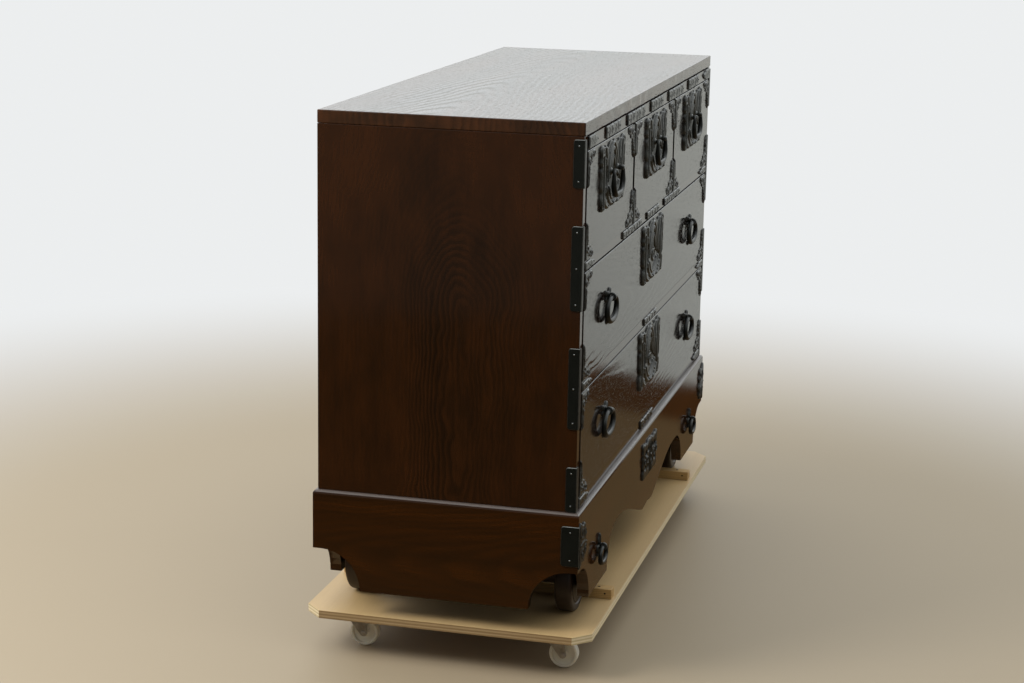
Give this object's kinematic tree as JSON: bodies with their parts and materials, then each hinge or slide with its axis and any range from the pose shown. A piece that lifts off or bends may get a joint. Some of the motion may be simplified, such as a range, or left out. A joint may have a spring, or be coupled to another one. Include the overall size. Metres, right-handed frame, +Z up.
{
  "type": "wheeled tansu chest",
  "caption": "Lacquered Japanese drawer chest with iron fittings, ring and bail handles and wooden base wheels, standing on a plywood dolly with swivel casters.",
  "frame": {"origin": "on the floor under the middle of the chest", "axes": "+X along the drawer fronts, -Y the way the drawers open, +Z up"},
  "size_m": [1.196, 0.503, 0.942],
  "materials": {
    "lacquer": "gloss lacquer",
    "base_lacquer": "gloss lacquer",
    "tray_wood": "bare",
    "wheel_wood": "dark satin",
    "iron": "black satin",
    "plywood": "bare",
    "zinc": "zinc plated",
    "nylon": "satin"
  },
  "bodies": {
    "chest": {"top_board": "lacquer", "left_side": "lacquer", "right_side": "lacquer", "back_panel": "lacquer", "bottom_board": "lacquer", "top_rail": "lacquer", "upper_shelf": "lacquer", "lower_shelf": "lacquer", "left_divider": "lacquer", "right_divider": "lacquer", "base_front_apron": "base_lacquer", "base_back_apron": "base_lacquer", "base_left_panel": "base_lacquer", "base_right_panel": "base_lacquer", "left_axle": "wheel_wood", "right_axle": "wheel_wood", "base_left_rosette": "iron", "base_right_rosette": "iron", "base_centre_plate": "iron", "dolly_board": "plywood"},
    "drawer_top_left": {"drawer_top_left_front": "lacquer", "drawer_top_left_tray": "tray_wood", "drawer_top_left_plate": "iron"},
    "drawer_top_left_bail": {"drawer_top_left_bail": "iron"},
    "drawer_top_middle": {"drawer_top_middle_front": "lacquer", "drawer_top_middle_tray": "tray_wood", "drawer_top_middle_plate": "iron"},
    "drawer_top_middle_bail": {"drawer_top_middle_bail": "iron"},
    "drawer_top_right": {"drawer_top_right_front": "lacquer", "drawer_top_right_tray": "tray_wood", "drawer_top_right_plate": "iron"},
    "drawer_top_right_bail": {"drawer_top_right_bail": "iron"},
    "drawer_middle": {"drawer_middle_front": "lacquer", "drawer_middle_tray": "tray_wood", "drawer_middle_lock_plate": "iron", "drawer_middle_left_rosette": "iron", "drawer_middle_right_rosette": "iron"},
    "drawer_middle_left_ring": {"drawer_middle_left_ring": "iron"},
    "drawer_middle_right_ring": {"drawer_middle_right_ring": "iron"},
    "drawer_lower": {"drawer_lower_front": "lacquer", "drawer_lower_tray": "tray_wood", "drawer_lower_lock_plate": "iron", "drawer_lower_left_rosette": "iron", "drawer_lower_right_rosette": "iron"},
    "drawer_lower_left_ring": {"drawer_lower_left_ring": "iron"},
    "drawer_lower_right_ring": {"drawer_lower_right_ring": "iron"},
    "base_left_ring": {"base_left_ring": "iron"},
    "base_right_ring": {"base_right_ring": "iron"},
    "wooden_wheel_front_left": {"wooden_wheel_front_left": "wheel_wood"},
    "wooden_wheel_front_right": {"wooden_wheel_front_right": "wheel_wood"},
    "wooden_wheel_back_left": {"wooden_wheel_back_left": "wheel_wood"},
    "wooden_wheel_back_right": {"wooden_wheel_back_right": "wheel_wood"},
    "caster_front_left_fork": {"caster_front_left_fork": "zinc"},
    "caster_front_left_wheel": {"caster_front_left_wheel": "nylon"},
    "caster_front_right_fork": {"caster_front_right_fork": "zinc"},
    "caster_front_right_wheel": {"caster_front_right_wheel": "nylon"},
    "caster_back_left_fork": {"caster_back_left_fork": "zinc"},
    "caster_back_left_wheel": {"caster_back_left_wheel": "nylon"},
    "caster_back_right_fork": {"caster_back_right_fork": "zinc"},
    "caster_back_right_wheel": {"caster_back_right_wheel": "nylon"}
  },
  "joints": [
    {"name": "drawer_top_left_slide", "type": "slide", "parent": "chest", "child": "drawer_top_left", "axis": [0, -1, 0], "range_m": [0, 0.3]},
    {"name": "drawer_top_left_bail_swing", "type": "hinge", "parent": "drawer_top_left", "child": "drawer_top_left_bail", "pos_m": [-0.38467, -0.2368, 0.84], "axis": [-1, 0, 0], "range_deg": [0, 120]},
    {"name": "drawer_top_middle_slide", "type": "slide", "parent": "chest", "child": "drawer_top_middle", "axis": [0, -1, 0], "range_m": [0, 0.3]},
    {"name": "drawer_top_middle_bail_swing", "type": "hinge", "parent": "drawer_top_middle", "child": "drawer_top_middle_bail", "pos_m": [0, -0.2368, 0.84], "axis": [-1, 0, 0], "range_deg": [0, 120]},
    {"name": "drawer_top_right_slide", "type": "slide", "parent": "chest", "child": "drawer_top_right", "axis": [0, -1, 0], "range_m": [0, 0.3]},
    {"name": "drawer_top_right_bail_swing", "type": "hinge", "parent": "drawer_top_right", "child": "drawer_top_right_bail", "pos_m": [0.38467, -0.2368, 0.84], "axis": [-1, 0, 0], "range_deg": [0, 120]},
    {"name": "drawer_middle_slide", "type": "slide", "parent": "chest", "child": "drawer_middle", "axis": [0, -1, 0], "range_m": [0, 0.3]},
    {"name": "drawer_middle_left_ring_swing", "type": "hinge", "parent": "drawer_middle", "child": "drawer_middle_left_ring", "pos_m": [-0.391, -0.2331, 0.62302], "axis": [-1, 0, 0], "range_deg": [0, 150]},
    {"name": "drawer_middle_right_ring_swing", "type": "hinge", "parent": "drawer_middle", "child": "drawer_middle_right_ring", "pos_m": [0.391, -0.2331, 0.62302], "axis": [-1, 0, 0], "range_deg": [0, 150]},
    {"name": "drawer_lower_slide", "type": "slide", "parent": "chest", "child": "drawer_lower", "axis": [0, -1, 0], "range_m": [0, 0.3]},
    {"name": "drawer_lower_left_ring_swing", "type": "hinge", "parent": "drawer_lower", "child": "drawer_lower_left_ring", "pos_m": [-0.391, -0.2331, 0.42303], "axis": [-1, 0, 0], "range_deg": [0, 150]},
    {"name": "drawer_lower_right_ring_swing", "type": "hinge", "parent": "drawer_lower", "child": "drawer_lower_right_ring", "pos_m": [0.391, -0.2331, 0.42303], "axis": [-1, 0, 0], "range_deg": [0, 150]},
    {"name": "base_left_ring_swing", "type": "hinge", "parent": "chest", "child": "base_left_ring", "pos_m": [-0.44, -0.2401, 0.1955], "axis": [-1, 0, 0], "range_deg": [0, 150]},
    {"name": "base_right_ring_swing", "type": "hinge", "parent": "chest", "child": "base_right_ring", "pos_m": [0.44, -0.2401, 0.1955], "axis": [-1, 0, 0], "range_deg": [0, 150]},
    {"name": "wooden_wheel_front_left_turn", "type": "hinge", "parent": "chest", "child": "wooden_wheel_front_left", "pos_m": [-0.457, -0.187, 0.1443], "axis": [0, 1, 0], "continuous": true},
    {"name": "wooden_wheel_front_right_turn", "type": "hinge", "parent": "chest", "child": "wooden_wheel_front_right", "pos_m": [0.457, -0.187, 0.1443], "axis": [0, 1, 0], "continuous": true},
    {"name": "wooden_wheel_back_left_turn", "type": "hinge", "parent": "chest", "child": "wooden_wheel_back_left", "pos_m": [-0.457, 0.187, 0.1443], "axis": [0, 1, 0], "continuous": true},
    {"name": "wooden_wheel_back_right_turn", "type": "hinge", "parent": "chest", "child": "wooden_wheel_back_right", "pos_m": [0.457, 0.187, 0.1443], "axis": [0, 1, 0], "continuous": true},
    {"name": "caster_front_left_swivel", "type": "hinge", "parent": "chest", "child": "caster_front_left_fork", "pos_m": [-0.5165, -0.178, 0], "axis": [0, 0, 1], "continuous": true},
    {"name": "caster_front_left_roll", "type": "hinge", "parent": "caster_front_left_fork", "child": "caster_front_left_wheel", "pos_m": [-0.5165, -0.193, 0.025], "axis": [1, 0, 0], "continuous": true},
    {"name": "caster_front_right_swivel", "type": "hinge", "parent": "chest", "child": "caster_front_right_fork", "pos_m": [0.5165, -0.178, 0], "axis": [0, 0, 1], "continuous": true},
    {"name": "caster_front_right_roll", "type": "hinge", "parent": "caster_front_right_fork", "child": "caster_front_right_wheel", "pos_m": [0.5165, -0.193, 0.025], "axis": [1, 0, 0], "continuous": true},
    {"name": "caster_back_left_swivel", "type": "hinge", "parent": "chest", "child": "caster_back_left_fork", "pos_m": [-0.5165, 0.178, 0], "axis": [0, 0, 1], "continuous": true},
    {"name": "caster_back_left_roll", "type": "hinge", "parent": "caster_back_left_fork", "child": "caster_back_left_wheel", "pos_m": [-0.5165, 0.163, 0.025], "axis": [1, 0, 0], "continuous": true},
    {"name": "caster_back_right_swivel", "type": "hinge", "parent": "chest", "child": "caster_back_right_fork", "pos_m": [0.5165, 0.178, 0], "axis": [0, 0, 1], "continuous": true},
    {"name": "caster_back_right_roll", "type": "hinge", "parent": "caster_back_right_fork", "child": "caster_back_right_wheel", "pos_m": [0.5165, 0.163, 0.025], "axis": [1, 0, 0], "continuous": true}
  ]
}
